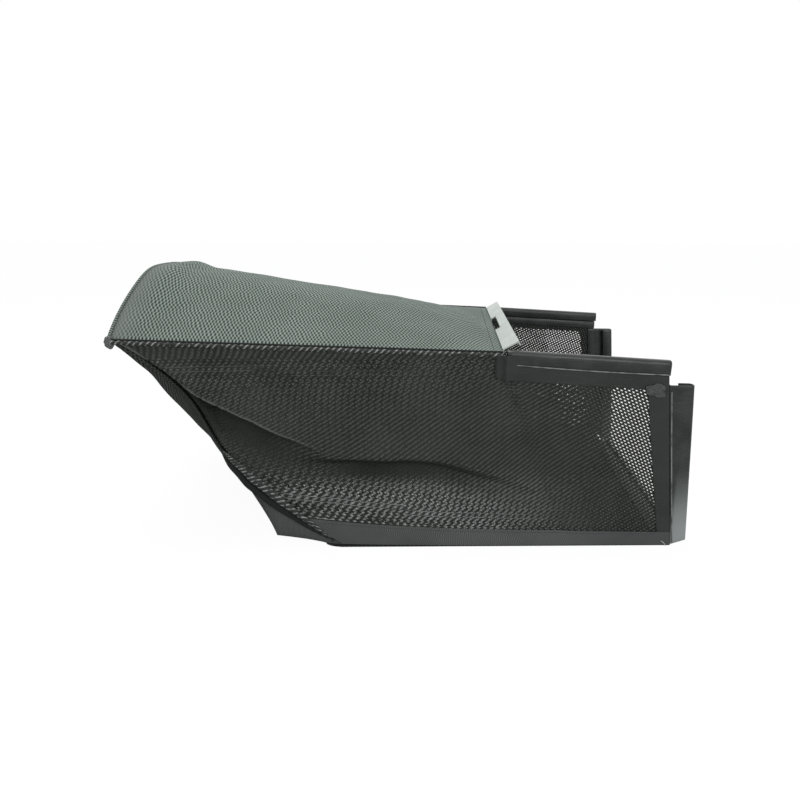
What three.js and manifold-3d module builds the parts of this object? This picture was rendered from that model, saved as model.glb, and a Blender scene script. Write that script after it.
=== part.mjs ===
// Grass collection bag of a walk-behind mower, as it stands on a floor with no frame in it.
//
// A dense woven top, back and floor run between two open mesh sides. Extruded plastic clips are
// sewn to the edges of the mouth and snap over the bag's wire frame: one rail along each upper
// edge, one upright at each side, one across the floor, and a pale strip across the top.
// The bag is slack, so its back leans in under the top and its sides fold and flare.
//
// Millimetres. +X is forwards, towards the mower, and +Z is up. While the bag is being made,
// x = 0 is the foot of the mouth. One side is modelled, the left at +Y, and mirrored.
import * as THREE from "three";
import { mergeVertices } from "three/addons/utils/BufferGeometryUtils.js";
import Module from "manifold-3d";

const { Vector2, Vector3 } = THREE;
const { lerp, clamp, degToRad } = THREE.MathUtils;

// The mouth
const mouthWidth = 400; // between the sides, under the rails
const footWidth = 410; // between the sides, at the floor
const mouthHeight = 208; // top of the upright clips
const mouthLean = 24; // the foot of the mouth stands this far ahead of its top

// The rails, which carry the front of the bag
const railFrontX = -26;
const railLength = 191;
const railRearHeight = 246;
const railFrontHeight = 237;

// The seams round each side: back from the rail, down the back, and along the floor
const topLength = 478; // from the rail's end to the rear corners
const topWidth = 450; // at the rear corners
const cornerHeight = 256; // of the rear corners
const floorLength = 416;
const floorWidth = 492; // at its back corners
const seamShoulder = new Vector3(184, 1, -103); // pulls the back seam forwards under its top end
const seamHeel = new Vector3(-251, -15.5, 148); // pulls the back seam backwards over its foot

// The crown of the top, and the back
const crownHeight = 75; // the middle of the top over its rear corners
const crownRise = 0.68; // how soon the crown rises behind the strip: 1 is an even rise
const crownFlat = 0.26; // share of the width that is flat along the middle
const crownSharpness = 12; // of the turn from the slopes to the flat
const humpHeight = 7.2; // of the hump that the bag's handle has left in the crown
const humpPlace = 0.944; // share of the top's length
const humpSpread = 0.042;
const ridgeOverhang = 23; // the middle of the top reaches this far behind its corners
const backSeamSet = 24; // the seam under the back curves this far behind the floor's corners
const heelLength = 64; // of the back that lies on the floor
const backSquare = 60; // how squarely the back turns into its sides: 2 is a plain arch
const backPull = new Vector3(-2, 0, 24); // lifts the middle of the back off the heel
const backHang = new Vector3(143, 0, -147); // pulls the middle of the back in under the ridge
const backSag = 4; // the slack waves in the back

// Cloth, seams and tapes
const clothThickness = 1.2;
const floorThickness = 1.5;
const tapeThickness = 1;
const sewnGap = 0.3; // between sewn layers, and between a clip and a cloth's edge
const seamRadius = 1.8; // of the rolled seams
const seamGap = 0.5; // between a rolled seam and each cloth in it
const seamEnd = 0.012; // share of a rolled seam that is left free at its ends
const backSeamStart = 0.02; // share of the back seam that is hidden in the rear corner
const sideSole = 1; // the side's foot stands this far over the floor
const bandHeight = 17; // the dense band along the foot of each side
const meshFoot = 9; // the mesh reaches down to here behind the band
const railTapeWidth = 18;
const uprightTapeWidth = 16;
const backTapeWidth = 20;

// The mesh of the sides, drawn far coarser than it is woven
const railColumns = 8; // under the rail
const sideColumns = 28;
const sideRows = 11;
const meshOpening = 0.46; // of a cell
const ribHeight = 0.5;
const denseColumns = 18; // facets of the top and the back, closer towards their sides
const denseRows = 16;

// The clips
const clipWall = 1.8;
const hookRound = 4;
const railFlange = 10.5;
const railHook = 16; // height of the hook above its step
const railHookDepth = 13;
const railReturn = 14;
const uprightFlange = 12;
const uprightHook = 28;
const uprightHookDepth = 13;
const uprightReturn = 16;
const uprightTurn = 32; // degrees that the hook turns inwards at its foot
const footFlange = 14;
const footHook = 14;
const footHookDepth = 11;
const footReturn = 9;
const stripLength = 380;
const stripFace = 20;
const stripTilt = 30; // degrees
const stripLip = 5;
const stripFlange = 18;
const stripGap = 3; // between the rails' ends and the step of the strip
const notchLength = 105;
const notchDepth = 7;

// Pieces of cloth at the ends of the clips
const tabWrap = 12; // over the rail's end
const tabLength = 14; // behind it
const patchLength = 20;
const patchHeight = 13;
const patchThickness = 2;

// The folds of the sides
const foldFrom = new Vector2(-640, 206); // the upper fold's edge, x and height
const foldTo = new Vector2(-440, 112);
const foldStand = 13; // the upper fold stands out this far
const foldHollow = 17; // and hangs over a hollow this deep
const foldFade = [0.45, 1.2]; // along the fold, where it dies out
const foldReach = 55; // how far up and down the fold is felt
const bellyStand = 8;
const bellyHeight = 160;
const hollowDepth = 9;
const hollowHeight = 80;
const bellySpread = 42;

const clothHalf = clothThickness / 2;
const seamInset = seamRadius + seamGap; // from a rolled seam's line to each cloth in it
const outside = clothHalf + ribHeight + sewnGap; // from a side's middle to the tape on it
const inside = clothHalf + sewnGap; // from a cloth's middle to the flange behind it
const clothEdge = clipWall + sewnGap; // from a clip's step to the edge of its cloth

const black = { color: 0x2b2d2b, roughness: 0.42 };
const pale = { color: 0xb9c1bb, roughness: 0.5 };
const dense = { color: 0x5c6761, roughness: 0.9 };
const openCloth = { color: 0x3a3e39, roughness: 0.8 };
const binding = { color: 0x343833, roughness: 0.85 };

const wasm = await Module();
wasm.setup();
const bag = new THREE.Group();

function add(name, geometry, finish) {
  const piece = new THREE.Mesh(geometry, new THREE.MeshStandardMaterial(finish));
  piece.name = name;
  bag.add(piece);
}

// The same geometry on the other side of the bag, still facing outwards.
function mirrored(geometry) {
  const other = geometry.index ? geometry.toNonIndexed() : geometry.clone();
  const points = other.attributes.position;
  const corner = [new Vector3(), new Vector3(), new Vector3()];
  for (let i = 0; i < points.count; i += 3) {
    corner.forEach((point, k) => point.fromBufferAttribute(points, i + k));
    corner.forEach((point, k) => points.setXYZ(i + 2 - k, point.x, -point.y, point.z));
  }
  return other;
}

function addPair(name, geometry, finish) {
  add(`left_${name}`, geometry, finish);
  add(`right_${name}`, mirrored(geometry), finish);
}

function smooth(x, from, to) {
  return THREE.MathUtils.smoothstep(x, from, to);
}

function bump(x, middle, spread) {
  return Math.exp(-(((x - middle) / spread) ** 2));
}

// The outward normal of a surface at u, v.
function normalAt(surface, u, v) {
  const step = 1e-3;
  const along = surface(Math.min(u + step, 1), v).sub(surface(Math.max(u - step, 0), v));
  const up = surface(u, Math.min(v + step, 1)).sub(surface(u, Math.max(v - step, 0)));
  return along.cross(up).normalize();
}

function offsetPoint(surface, u, v, offset) {
  return surface(u, v).addScaledVector(normalAt(surface, u, v), offset);
}

// A part of a surface, as a surface of its own.
function patchOf(surface, [u0, u1], [v0, v1]) {
  return (u, v) => surface(lerp(u0, u1, u), lerp(v0, v1, v));
}

// A sheet of cloth: the part of space between two offsets from a surface.
function sheet(surface, columns, rows, inner, outer) {
  const geometry = new THREE.BoxGeometry(1, 1, 1, columns, rows, 1);
  const points = geometry.attributes.position;
  for (let i = 0; i < points.count; i++) {
    const offset = lerp(inner, outer, points.getZ(i) + 0.5);
    const point = offsetPoint(surface, points.getX(i) + 0.5, points.getY(i) + 0.5, offset);
    points.setXYZ(i, point.x, point.y, point.z);
  }
  return geometry;
}

// An open mesh: a sheet with a ribbed grid outside, and an opening in every second inner cell.
function openMesh(surface, columns, rows) {
  const corners = [];
  const quad = (a, b, c, d) => corners.push(a, b, c, a, c, d);
  const ring = [[0, 0], [1, 0], [1, 1], [0, 1]];
  const margin = (1 - meshOpening) / 2;
  const atRim = ([u, v]) => u === 0 || u === 1 || v === 0 || v === 1;
  for (let i = 0; i < columns; i++) {
    for (let j = 0; j < rows; j++) {
      const cell = ring.map(([s, t]) => [(i + s) / columns, (j + t) / rows]);
      const front = cell.map((p) => offsetPoint(surface, ...p, clothHalf + (atRim(p) ? 0 : ribHeight)));
      const back = cell.map((p) => offsetPoint(surface, ...p, -clothHalf));
      const sides = [j === 0, i === columns - 1, j === rows - 1, i === 0];
      if (sides.includes(true) || (i + j) % 2 === 0) {
        quad(...front);
        quad(...back.toReversed());
      } else {
        const hole = ring.map(([s, t]) => [
          (i + lerp(margin, 1 - margin, s)) / columns,
          (j + lerp(margin, 1 - margin, t)) / rows,
        ]);
        const frontHole = hole.map((p) => offsetPoint(surface, ...p, clothHalf));
        const backHole = hole.map((p) => offsetPoint(surface, ...p, -clothHalf));
        for (let k = 0; k < 4; k++) {
          const next = (k + 1) % 4;
          quad(front[k], front[next], frontHole[next], frontHole[k]);
          quad(back[next], back[k], backHole[k], backHole[next]);
          quad(frontHole[k], frontHole[next], backHole[next], backHole[k]);
        }
      }
      for (let k = 0; k < 4; k++) {
        const next = (k + 1) % 4;
        if (sides[k]) quad(front[next], front[k], back[k], back[next]);
      }
    }
  }
  return new THREE.BufferGeometry().setFromPoints(corners);
}

// A curve whose points are spaced by its own share, so that cloth and seam share their corners.
class SeamLine extends THREE.Curve {
  constructor(at) {
    super();
    this.at = at;
  }

  getPoint(t) {
    return this.at(t);
  }

  getUtoTmapping(share) {
    return share;
  }
}

// A rolled seam along part of a line.
function rolledSeam(at, steps, from = seamEnd, to = 1 - seamEnd) {
  const section = new THREE.Shape();
  for (let i = 0; i < 6; i++) {
    const point = new Vector2(seamRadius, 0).rotateAround(new Vector2(), (i * Math.PI) / 3);
    if (i === 0) section.moveTo(point.x, point.y);
    else section.lineTo(point.x, point.y);
  }
  const line = new SeamLine((t) => at(lerp(from, to, t)));
  return new THREE.ExtrudeGeometry(section, { steps, extrudePath: line });
}

// A wall of the clips' thickness, bent along a line.
function bentWall(path) {
  const line = path.getPoints(4);
  const way = (i) => line[i + 1].clone().sub(line[i]).normalize();
  const beside = (side) =>
    line.map((point, i) => {
      const before = way(Math.max(i - 1, 0));
      const after = way(Math.min(i, line.length - 2));
      const mitre = before.clone().add(after).divideScalar(1 + before.dot(after));
      return new Vector2(point.x - mitre.y * side, point.y + mitre.x * side);
    });
  return new THREE.Shape([...beside(clipWall / 2), ...beside(-clipWall / 2).reverse()]);
}

// A clip's section: x is the depth into the bag, y runs from the cloth towards the hook's end.
// The flange lies behind the cloth, the step ends the cloth, and the hook stands flush outside.
function clipSection(flangeDepth, hookDepth, size) {
  const face = hookDepth;
  const far = hookDepth + size.depth - clipWall;
  const end = size.hook - clipWall / 2;
  const path = new THREE.Path();
  path.moveTo(flangeDepth, -clipWall - size.flange);
  path.lineTo(flangeDepth, -clipWall / 2);
  path.lineTo(face, -clipWall / 2);
  path.lineTo(face, end - hookRound);
  path.absarc(face + hookRound, end - hookRound, hookRound, Math.PI, Math.PI / 2, true);
  path.absarc(far - hookRound, end - hookRound, hookRound, Math.PI / 2, 0, true);
  path.lineTo(far, size.hook - size.back);
  return bentWall(path);
}

// A section carried along a way: place(x, y, t) says where its point x, y lies at the share t.
function carry(section, steps, place) {
  const geometry = new THREE.ExtrudeGeometry(section, { depth: 1, steps, bevelEnabled: false });
  const points = geometry.attributes.position;
  for (let i = 0; i < points.count; i++) {
    const point = place(points.getX(i), points.getY(i), points.getZ(i));
    points.setXYZ(i, point.x, point.y, point.z);
  }
  return geometry;
}

// A closed geometry as a solid that can be cut, and back.
function toSolid(geometry) {
  const bare = geometry.clone();
  bare.deleteAttribute("normal");
  bare.deleteAttribute("uv");
  const merged = mergeVertices(bare, 1e-4);
  return new wasm.Manifold(
    new wasm.Mesh({
      numProp: 3,
      vertProperties: merged.attributes.position.array,
      triVerts: new Uint32Array(merged.index.array),
    }),
  );
}

function toGeometry(solid) {
  const made = solid.getMesh();
  const geometry = new THREE.BufferGeometry();
  geometry.setAttribute("position", new THREE.BufferAttribute(made.vertProperties, 3));
  geometry.setIndex(new THREE.BufferAttribute(made.triVerts, 1));
  return geometry;
}

// The lines that the pieces share

const railRearX = railFrontX - railLength;
const stripStepX = railRearX - stripGap;
const seamStart = new Vector3(stripStepX - clothEdge, mouthWidth / 2, railRearHeight - seamRadius - seamGap);
const topCorner = new Vector3(seamStart.x - topLength, topWidth / 2, cornerHeight);
const floorCorner = new Vector3(-floorLength, floorWidth / 2, seamInset);
const backSeam = new THREE.CubicBezierCurve3(
  topCorner,
  topCorner.clone().add(seamShoulder),
  floorCorner.clone().add(seamHeel),
  floorCorner,
);

function topSeam(t) {
  return seamStart.clone().lerp(topCorner, t);
}

// Shares that lie closer together towards 0 and 1.
function closer(share) {
  return (1 - Math.cos(Math.PI * share)) / 2;
}

// The height of the crown's middle over its seams, along the top.
function crown(along) {
  return crownHeight * Math.max(0, along) ** crownRise + humpHeight * bump(along, humpPlace, humpSpread);
}

// The share of that height across the top: even slopes from the seams to the flat middle.
function ridge(s) {
  const slope = (1 - Math.abs(s)) / (1 - crownFlat);
  const sum = Math.exp(-crownSharpness * slope) + Math.exp(-crownSharpness);
  return -Math.log(sum) / crownSharpness;
}

// How far the rear edge of the top hangs out behind its corners.
function overhang(s) {
  return ridgeOverhang * (1 - Math.abs(s) ** 3);
}

// The rear edge of the top, from the right corner to the left.
function rearSeam(s) {
  return new Vector3(topCorner.x - overhang(s), topCorner.y * s, topCorner.z + crown(1) * ridge(s));
}

function railHeight(x) {
  return lerp(railFrontHeight, railRearHeight, (railFrontX - x) / railLength);
}

// The front of the mouth at a height, where the step of each upright lies.
function mouthX(z) {
  return -mouthLean * (z / mouthHeight);
}

function floorHalfWidth(x) {
  return lerp(footWidth, floorWidth, -x / floorLength) / 2;
}

// The four edges of the left side: u runs backwards from the mouth, v up from the floor.
const railShare = railColumns / sideColumns;
const riseShare = (railColumns + 1) / sideColumns; // behind the rail the edge rises to the seam
const sideFrontTop = railFrontHeight - railHook - clothEdge;

function sideFoot(u) {
  const x = lerp(mouthX(sideSole) - clothEdge, -floorLength + seamInset, u);
  return new Vector3(x, floorHalfWidth(x), sideSole);
}

function sideBack(v) {
  const t = lerp(1, backSeamStart, v);
  const way = backSeam.getTangent(t);
  const forwards = new Vector3(-way.z, 0, way.x);
  return backSeam.getPoint(t).addScaledVector(forwards, seamInset);
}

function sideHead(u) {
  const front = new Vector3(mouthX(sideFrontTop) - clothEdge, mouthWidth / 2, sideFrontTop);
  const railEnd = new Vector3(railRearX, mouthWidth / 2, railRearHeight - railHook - clothEdge);
  const seamFront = topSeam(0.03).sub(new Vector3(0, 0, seamInset));
  if (u <= railShare) return front.lerp(railEnd, u / railShare);
  if (u <= riseShare) return railEnd.lerp(seamFront, (u - railShare) / (riseShare - railShare));
  return seamFront.lerp(sideBack(1), (u - riseShare) / (1 - riseShare));
}

// How far the slack cloth stands out of the side's plain form, at x and z.
function sideFold(x, z) {
  const edge = foldTo.clone().sub(foldFrom);
  const place = new Vector2(x, z).sub(foldFrom);
  const along = place.dot(edge) / edge.lengthSq();
  const below = place.cross(edge) / edge.length();
  const strength = (1 - smooth(along, ...foldFade)) * bump(below, 0, foldReach);
  const upperFold = strength * lerp(foldStand, -foldHollow, smooth(below, -4, 22));
  const belly = bellyStand * bump(z, bellyHeight, bellySpread);
  const hollow = hollowDepth * bump(z, hollowHeight, bellySpread);
  const middle = smooth(x, foldFrom.x + 80, foldTo.x) * (1 - smooth(x, railRearX + 60, railFrontX));
  return upperFold + (belly - hollow) * middle;
}

function side(u, v) {
  const foot = sideFoot(u);
  const head = sideHead(u);
  const point = foot.clone().lerp(head, v);
  point.y = lerp(foot.y, head.y, 1 - (1 - v) ** 2.2);
  const straightBack = sideFoot(1).lerp(sideHead(1), v);
  point.addScaledVector(sideBack(v).sub(straightBack), u ** 4);
  const freeAlong = smooth(u, 0.06, 0.2) * (1 - smooth(u, 0.9, 1));
  const freeUp = smooth(v, 0.08, 0.28) * (1 - smooth(v, 0.7, 0.88));
  point.y += sideFold(point.x, point.z) * freeAlong * freeUp;
  return point;
}

// The top: u runs backwards from the strip, v across from the left. It is flat over the flange.
const flatShare = (stripFlange + clipWall) / topLength;

function top(u, v) {
  const s = 1 - 2 * closer(v);
  const step = 1 / denseColumns;
  const along = u < step ? (flatShare * u) / step : lerp(flatShare, 1, (u - step) / (1 - step));
  const seam = topSeam(along);
  const rise = crown((along - flatShare) / (1 - flatShare)) * ridge(s);
  const x = seam.x + seamInset * along - overhang(s) * along ** 3;
  return new Vector3(x, (seam.y - seamInset) * s, seam.z + rise);
}

// The middle line of the back, from the floor seam over the heel and up to the ridge.
const heelFront = new Vector3(-floorLength - backSeamSet, 0, clothHalf);
const heelBack = heelFront.clone().sub(new Vector3(heelLength, 0, 0));
const ridgeEnd = rearSeam(0);
const backRise = new THREE.CubicBezierCurve3(
  heelBack,
  heelBack.clone().add(backPull),
  ridgeEnd.clone().add(backHang),
  ridgeEnd,
);
const heelShare = 2 / denseRows;

function backMiddle(v) {
  if (v < heelShare) return heelFront.clone().lerp(heelBack, v / heelShare);
  return backRise.getPoint((v - heelShare) / (1 - heelShare));
}

// The back at a share s of its half width, and v up from the floor seam.
function backAt(s, v) {
  const edge = backSeam.getPoint(1 - v);
  const square = Math.sqrt(1 - Math.abs(s) ** backSquare);
  const point = edge.clone().lerp(backMiddle(v), square);
  point.y = (edge.y - seamInset - clothHalf) * s;
  const rear = rearSeam(s);
  const rearShare = smooth(v, heelShare, 1); // where the back takes the form of the rear seam
  point.x += (rear.x - lerp(topCorner.x, ridgeEnd.x, square)) * rearShare;
  point.z += (rear.z - lerp(topCorner.z, ridgeEnd.z, square)) * rearShare - seamInset * v ** 8;
  const slack = square * smooth(v, heelShare, 0.3) * (1 - v);
  point.x -= backSag * Math.sin(4 * Math.PI * v) * slack;
  return point;
}

function back(u, v) {
  return backAt(1 - 2 * closer(u), v);
}

// The floor: u runs backwards from the mouth, v across from the left. It shares its corners with
// the back, and has one more column at each side, which reaches under the sides up to the bands.
const floorColumns = denseColumns + 2;

function floor(u, v) {
  const s = 1 - 2 * closer(clamp((v * floorColumns - 1) / denseColumns, 0, 1));
  const frontX = mouthX(0) - clothEdge;
  const rearX = backAt(s, 0).x + 2 * seamGap;
  const reach = outside - sewnGap;
  const sewn = backAt(1, 0).y - clothThickness - sewnGap;
  const atSide = clamp(1 - floorColumns * Math.min(v, 1 - v), 0, 1);
  const rear = lerp(sewn, floorHalfWidth(rearX) + reach, atSide);
  const front = (floorHalfWidth(frontX) + reach) * lerp((2 * sewn) / floorWidth, 1, atSide);
  return new Vector3(lerp(frontX, rearX, u), s * lerp(front, rear, u), floorThickness / 2);
}

// The cloths
add("top_panel", sheet(top, denseColumns, denseRows, -clothHalf, clothHalf), dense);
add("back_panel", sheet(back, denseColumns, denseRows, -clothHalf, clothHalf), dense);
add("floor_panel", sheet(floor, 6, floorColumns, -floorThickness / 2, floorThickness / 2), dense);
const footShare = (meshFoot - sideSole) / (sideFrontTop - sideSole);
addPair("side_panel", openMesh(patchOf(side, [0, 1], [footShare, 1]), sideColumns, sideRows), openCloth);

// The rolled seams
addPair("top_seam", rolledSeam((t) => topSeam(t), 12), binding);
addPair("back_seam", rolledSeam((t) => backSeam.getPoint(t), denseRows, backSeamStart), binding);
const rearEnd = 1 / denseColumns;
const rearLine = (t) => rearSeam(2 * closer(t) - 1);
add("rear_seam", rolledSeam(rearLine, denseColumns - 2, rearEnd, 1 - rearEnd), binding);

// The tapes and bands sewn on outside the mesh, with their share of the side's height
const shareOf = (height) => height / (sideFrontTop - sideSole);
const outer = [outside, outside + tapeThickness];
const bandTop = shareOf(bandHeight);
const railTapeFoot = 1 - shareOf(railTapeWidth);
const gapShare = shareOf(sewnGap);
const tapeColumns = uprightTapeWidth / floorLength;
addPair("floor_band", sheet(patchOf(side, [0, 1], [0, bandTop]), sideColumns, 1, ...outer), binding);
const railTape = patchOf(side, [0, railShare], [railTapeFoot, 1]);
addPair("rail_tape", sheet(railTape, railColumns, 1, ...outer), binding);
const uprightTape = patchOf(side, [0, tapeColumns], [bandTop + gapShare, railTapeFoot - gapShare]);
addPair("upright_tape", sheet(uprightTape, 1, 10, ...outer), binding);

// The tape over the seam between floor and back, inside the bag
const backTapeReach = 0.55; // share of the width, where both cloths lie flat
function backTape(u, v) {
  const s = lerp(backTapeReach, -backTapeReach, v);
  const joint = backAt(s, 0);
  return new Vector3(joint.x + lerp(0.5, -0.5, u) * backTapeWidth, joint.y, floorThickness + sewnGap);
}
add("back_tape", sheet(backTape, 1, 8, 0, tapeThickness), binding);

// The folded tab that wraps the rail's rear end, and the patch that tacks the front corner
const overTape = outside + tapeThickness + sewnGap;
function tab(u, v) {
  const foot = railRearHeight - railHook - clothEdge - railTapeWidth;
  const x = railRearX + tabWrap - u * (tabWrap + tabLength);
  const y = topSeam(Math.max(0, (seamStart.x - x) / topLength)).y;
  return new Vector3(x, y, lerp(foot, seamStart.z - seamInset, v));
}
addPair("rail_tab", sheet(tab, 3, 2, overTape, overTape + tapeThickness), binding);
const patchEnd = (patchLength + clothEdge) / floorLength;
const patchSpan = [railTapeFoot - shareOf(patchHeight / 2), railTapeFoot + shareOf(patchHeight / 2)];
const patch = patchOf(side, [seamEnd / 2, patchEnd], patchSpan);
addPair("corner_patch", sheet(patch, 2, 2, overTape, overTape + patchThickness), binding);

// The clips
const flangeDepth = inside + clipWall / 2;
const flushDepth = clipWall / 2 - outside - tapeThickness;
const railSize = { flange: railFlange, hook: railHook, depth: railHookDepth, back: railReturn };
addPair(
  "rail_clip",
  carry(clipSection(flangeDepth, flushDepth, railSize), 1, (depth, rise, t) => {
    const x = railFrontX - railLength * t;
    return new Vector3(x, mouthWidth / 2 - depth, railHeight(x) - railHook + rise);
  }),
  black,
);

const uprightSize = {
  flange: uprightFlange,
  hook: uprightHook,
  depth: uprightHookDepth,
  back: uprightReturn,
};
addPair(
  "upright_clip",
  carry(clipSection(flangeDepth, flushDepth, uprightSize), 8, (depth, reach, t) => {
    const z = lerp(floorThickness + sewnGap, mouthHeight, t);
    const base = side(0, (z - sideSole) / (sideFrontTop - sideSole));
    const place = new Vector2(reach, depth - flushDepth);
    if (reach > 0) place.rotateAround(new Vector2(), degToRad(uprightTurn) * (1 - t));
    return new Vector3(mouthX(z) + place.x, base.y - flushDepth - place.y, z);
  }),
  black,
);

const turn = degToRad(uprightTurn);
const cornerRoom = uprightHook * Math.sin(turn) + uprightHookDepth * Math.cos(turn) + 2 * clipWall;
const footLength = footWidth - 2 * cornerRoom;
const footSize = { flange: footFlange, hook: footHook, depth: footHookDepth, back: footReturn };
const footFlangeDepth = floorThickness / 2 + sewnGap + clipWall / 2;
add(
  "foot_clip",
  carry(clipSection(footFlangeDepth, (clipWall - floorThickness) / 2, footSize), 1, (depth, reach, t) => {
    return new Vector3(mouthX(0) + reach, lerp(-0.5, 0.5, t) * footLength, floorThickness / 2 + depth);
  }),
  black,
);

function makeStrip() {
  const rearX = stripStepX - clipWall / 2;
  const flangeZ = seamStart.z - inside - clipWall / 2;
  const faceZ = seamStart.z + clothHalf + clipWall / 2;
  const tilt = degToRad(stripTilt);
  const front = new Vector2(rearX + stripFace * Math.cos(tilt), faceZ + stripFace * Math.sin(tilt));
  const path = new THREE.Path();
  path.moveTo(rearX - stripFlange, flangeZ);
  path.lineTo(rearX, flangeZ);
  path.lineTo(rearX, faceZ);
  path.lineTo(front.x, front.y);
  path.lineTo(front.x + stripLip * Math.sin(tilt), front.y - stripLip * Math.cos(tilt));
  const strip = carry(bentWall(path), 1, (x, z, t) => new Vector3(x, stripLength * (0.5 - t), z));
  const notchRear = rearX - clipWall / 2 - clothEdge;
  const notch = new THREE.BoxGeometry(notchDepth + clothEdge, notchLength, 2 * stripFace);
  notch.translate(notchRear + (notchDepth + clothEdge) / 2, 0, flangeZ);
  return toGeometry(toSolid(strip).subtract(toSolid(notch)));
}
add("top_strip", makeStrip(), pale);

// The bag stands on z = 0, with the middle of its length and width at x = 0 and y = 0.
const bounds = new THREE.Box3().setFromObject(bag);
bag.position.set(-(bounds.min.x + bounds.max.x) / 2, 0, -bounds.min.z);

export default bag;
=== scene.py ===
import math

import bmesh
import bpy
from mathutils import Matrix, Vector, noise


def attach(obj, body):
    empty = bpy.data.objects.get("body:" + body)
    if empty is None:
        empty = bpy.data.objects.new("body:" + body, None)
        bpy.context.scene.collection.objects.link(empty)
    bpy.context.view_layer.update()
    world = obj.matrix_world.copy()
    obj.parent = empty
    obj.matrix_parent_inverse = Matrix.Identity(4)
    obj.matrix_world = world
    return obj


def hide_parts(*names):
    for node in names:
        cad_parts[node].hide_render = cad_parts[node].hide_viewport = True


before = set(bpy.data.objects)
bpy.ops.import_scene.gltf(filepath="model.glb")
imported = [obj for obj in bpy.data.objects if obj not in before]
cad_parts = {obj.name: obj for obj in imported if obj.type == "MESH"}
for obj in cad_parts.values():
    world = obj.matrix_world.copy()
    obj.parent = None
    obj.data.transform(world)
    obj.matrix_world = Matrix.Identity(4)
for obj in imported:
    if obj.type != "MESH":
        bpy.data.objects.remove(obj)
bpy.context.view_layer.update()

# Back panel
# One piece of dense woven cloth, from the floor seam over its heel and up to the ridge of the top.
# It hangs slack between the back seams, so it leans in and sags in slow waves.
mouth_x = 0.351368  # the foot of the mouth; every shape below is measured from there
cloth_thickness = 0.0012
seam_inset = 0.0023  # from a seam's line to the cloths that it joins
top_corner = Vector((-0.7001, 0.225, 0.256))
floor_corner = Vector((-0.416, 0.246, seam_inset))
crown_height = 0.075
hump_height = 0.0072
hump_middle, hump_spread = 0.944, 0.042  # shares of the top's length
crown_flat = 0.26  # share of the width that is flat along the middle
crown_sharpness = 12
heel_front = Vector((-0.440, 0, cloth_thickness / 2))
heel_back = Vector((-0.504, 0, cloth_thickness / 2))
heel_share = 2 / 16
heel_lift = Vector((-0.002, 0, 0.024))
ridge_hang = Vector((0.143, 0, -0.147))


def smooth(x, start, end):
    share = min(max((x - start) / (end - start), 0), 1)
    return share * share * (3 - 2 * share)


def bump(x, middle, spread):
    return math.exp(-(((x - middle) / spread) ** 2))


def wrinkle(point, size, seed=0.0):
    return noise.noise(Vector((point[0] / size + seed, point[1] / size, point[2] / size)))


def bezier(share, a, b, c, d):
    rest = 1 - share
    return a * rest**3 + b * 3 * rest**2 * share + c * 3 * rest * share**2 + d * share**3


def back_seam(share):
    shoulder = top_corner + Vector((0.184, 0.001, -0.103))
    heel = floor_corner + Vector((-0.251, -0.0155, 0.148))
    return bezier(share, top_corner, shoulder, heel, floor_corner)


def crown(along):
    """The crown's height along its middle, with the hump that the handle has left."""
    return crown_height * max(0, along) ** 0.68 + hump_height * bump(along, hump_middle, hump_spread)


def ridge(s):
    """Even slopes up from the seams that turn into the flat middle."""
    slope = (1 - abs(s)) / (1 - crown_flat)
    return -math.log(math.exp(-crown_sharpness * slope) + math.exp(-crown_sharpness)) / crown_sharpness


def overhang(s):
    return 0.023 * (1 - abs(s) ** 3)


def rear_seam(s):
    return Vector((top_corner.x - overhang(s), top_corner.y * s, top_corner.z + crown(1) * ridge(s)))


ridge_end = rear_seam(0)


def back_middle(v):
    if v < heel_share:
        return heel_front.lerp(heel_back, v / heel_share)
    rise = (v - heel_share) / (1 - heel_share)
    return bezier(rise, heel_back, heel_back + heel_lift, ridge_end + ridge_hang, ridge_end)


def closer(share):
    """Shares that lie closer together towards 0 and 1."""
    return (1 - math.cos(math.pi * share)) / 2


def back(s, v):
    edge = back_seam(1 - v)
    square = math.sqrt(max(0, 1 - abs(s) ** 60))
    point = edge.lerp(back_middle(v), square)
    point.y = (edge.y - seam_inset - cloth_thickness / 2) * s
    rear = rear_seam(s)
    rear_share = smooth(v, heel_share, 1)
    point.x += (rear.x - (top_corner.x + (ridge_end.x - top_corner.x) * square)) * rear_share
    point.z += (rear.z - (top_corner.z + (ridge_end.z - top_corner.z) * square)) * rear_share
    point.z -= seam_inset * v**8
    slack = square * smooth(v, heel_share, 0.3) * (1 - v)
    point.x -= 0.004 * math.sin(4 * math.pi * v) * slack
    free = square * smooth(v, 0.14, 0.3) * (1 - smooth(v, 0.9, 1))
    point.x += free * (0.006 * wrinkle(point, 0.07) + 0.0022 * wrinkle(point, 0.026, 5))
    return point


def laid(columns, rows, place, width, length, across=lambda share: share, along=lambda share: share):
    """A grid laid where place says, with a UV map in metres of flat cloth.

    across and along say where a row of the grid lies on the flat cloth, where its rows aren't even.
    """
    cloth = bmesh.new()
    bmesh.ops.create_grid(cloth, x_segments=columns, y_segments=rows, size=0.5)
    flat = cloth.loops.layers.uv.new("cloth")
    for face in cloth.faces:
        for loop in face.loops:
            loop[flat].uv = (across(loop.vert.co.x + 0.5) * width, along(loop.vert.co.y + 0.5) * length)
    for vert in cloth.verts:
        vert.co = place(vert.co.x + 0.5, vert.co.y + 0.5)
    return cloth


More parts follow.
